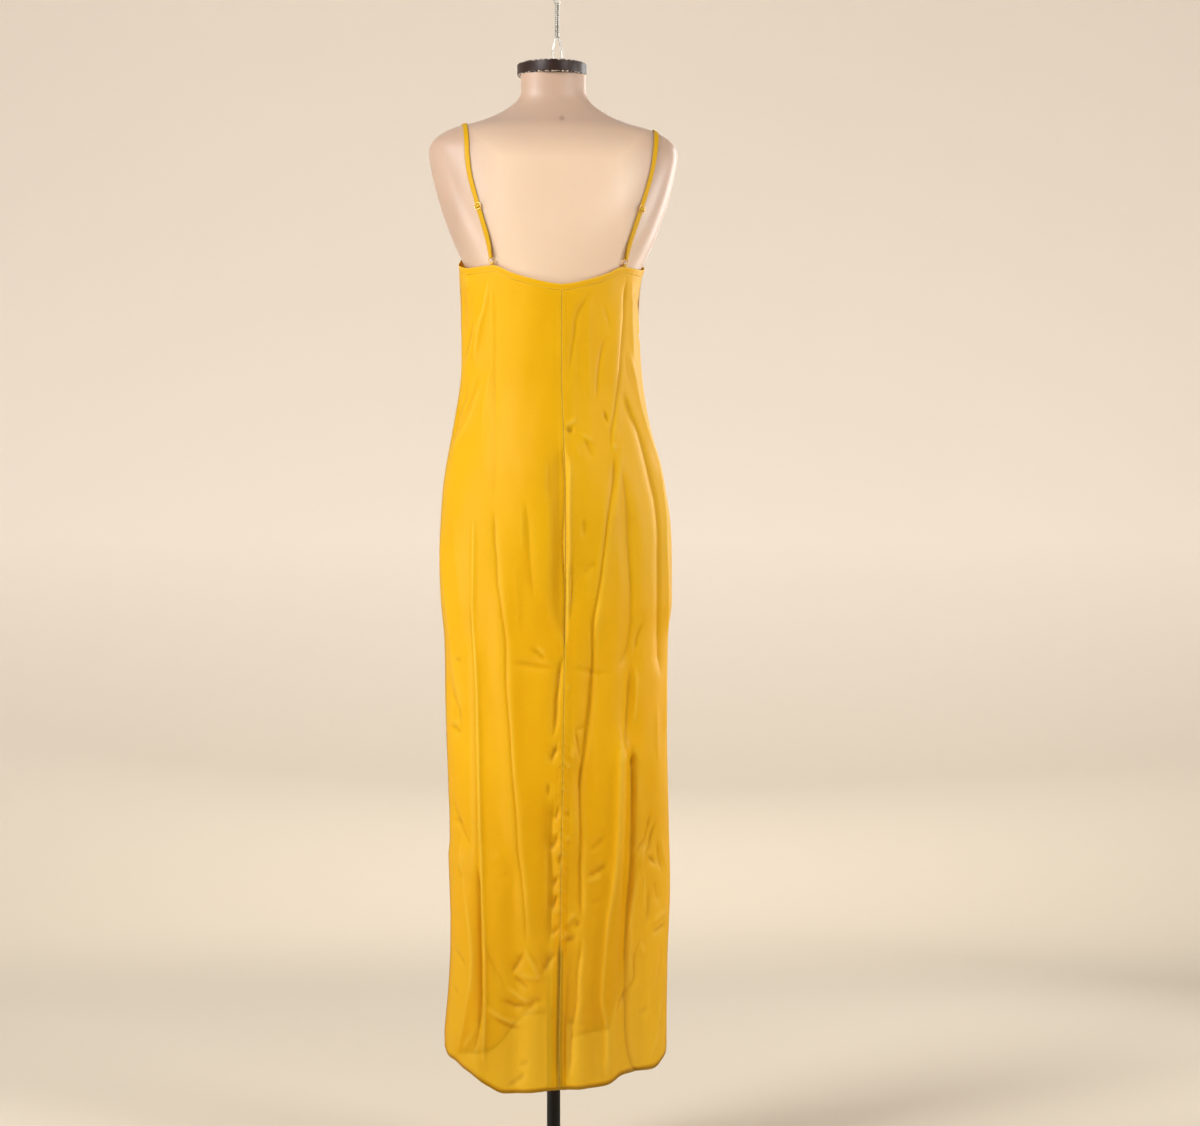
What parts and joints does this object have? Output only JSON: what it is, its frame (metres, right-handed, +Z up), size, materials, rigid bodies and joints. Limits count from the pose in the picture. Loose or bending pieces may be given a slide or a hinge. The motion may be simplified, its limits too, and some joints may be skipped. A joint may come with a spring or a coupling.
{
  "type": "slip dress on a limbless dress form",
  "caption": "Bias-cut maxi slip dress with V neck, adjustable straps, slit sides and shirt-tail hem, worn by a limbless dress form on a pole stand.",
  "frame": {"origin": "middle of the underside of the stand's round base, on the floor", "axes": "+Z up along the pole; the dress's back faces -Y and its front +Y; the wearer's right side is +X"},
  "size_m": [0.374, 0.35, 1.7843],
  "materials": {
    "mustard_satin": "soft satin with a slight crepe grain",
    "gilt_metal": "polished",
    "form_plastic": "satin",
    "cap_enamel": "gloss, a little worn",
    "loop_steel": "galvanised wire",
    "black_steel": "satin powder coat"
  },
  "bodies": {
    "root": {"back_left": "mustard_satin", "back_right": "mustard_satin", "front": "mustard_satin", "back_band": "mustard_satin", "front_band": "mustard_satin", "strap_left": "mustard_satin", "strap_right": "mustard_satin", "strap_tab_left": "mustard_satin", "strap_tab_right": "mustard_satin", "ring_left": "gilt_metal", "ring_right": "gilt_metal", "slider_left": "gilt_metal", "slider_right": "gilt_metal", "form_torso": "form_plastic", "neck_cap": "cap_enamel", "hanging_loop": "loop_steel", "pole": "black_steel", "base": "black_steel"}
  },
  "joints": []
}
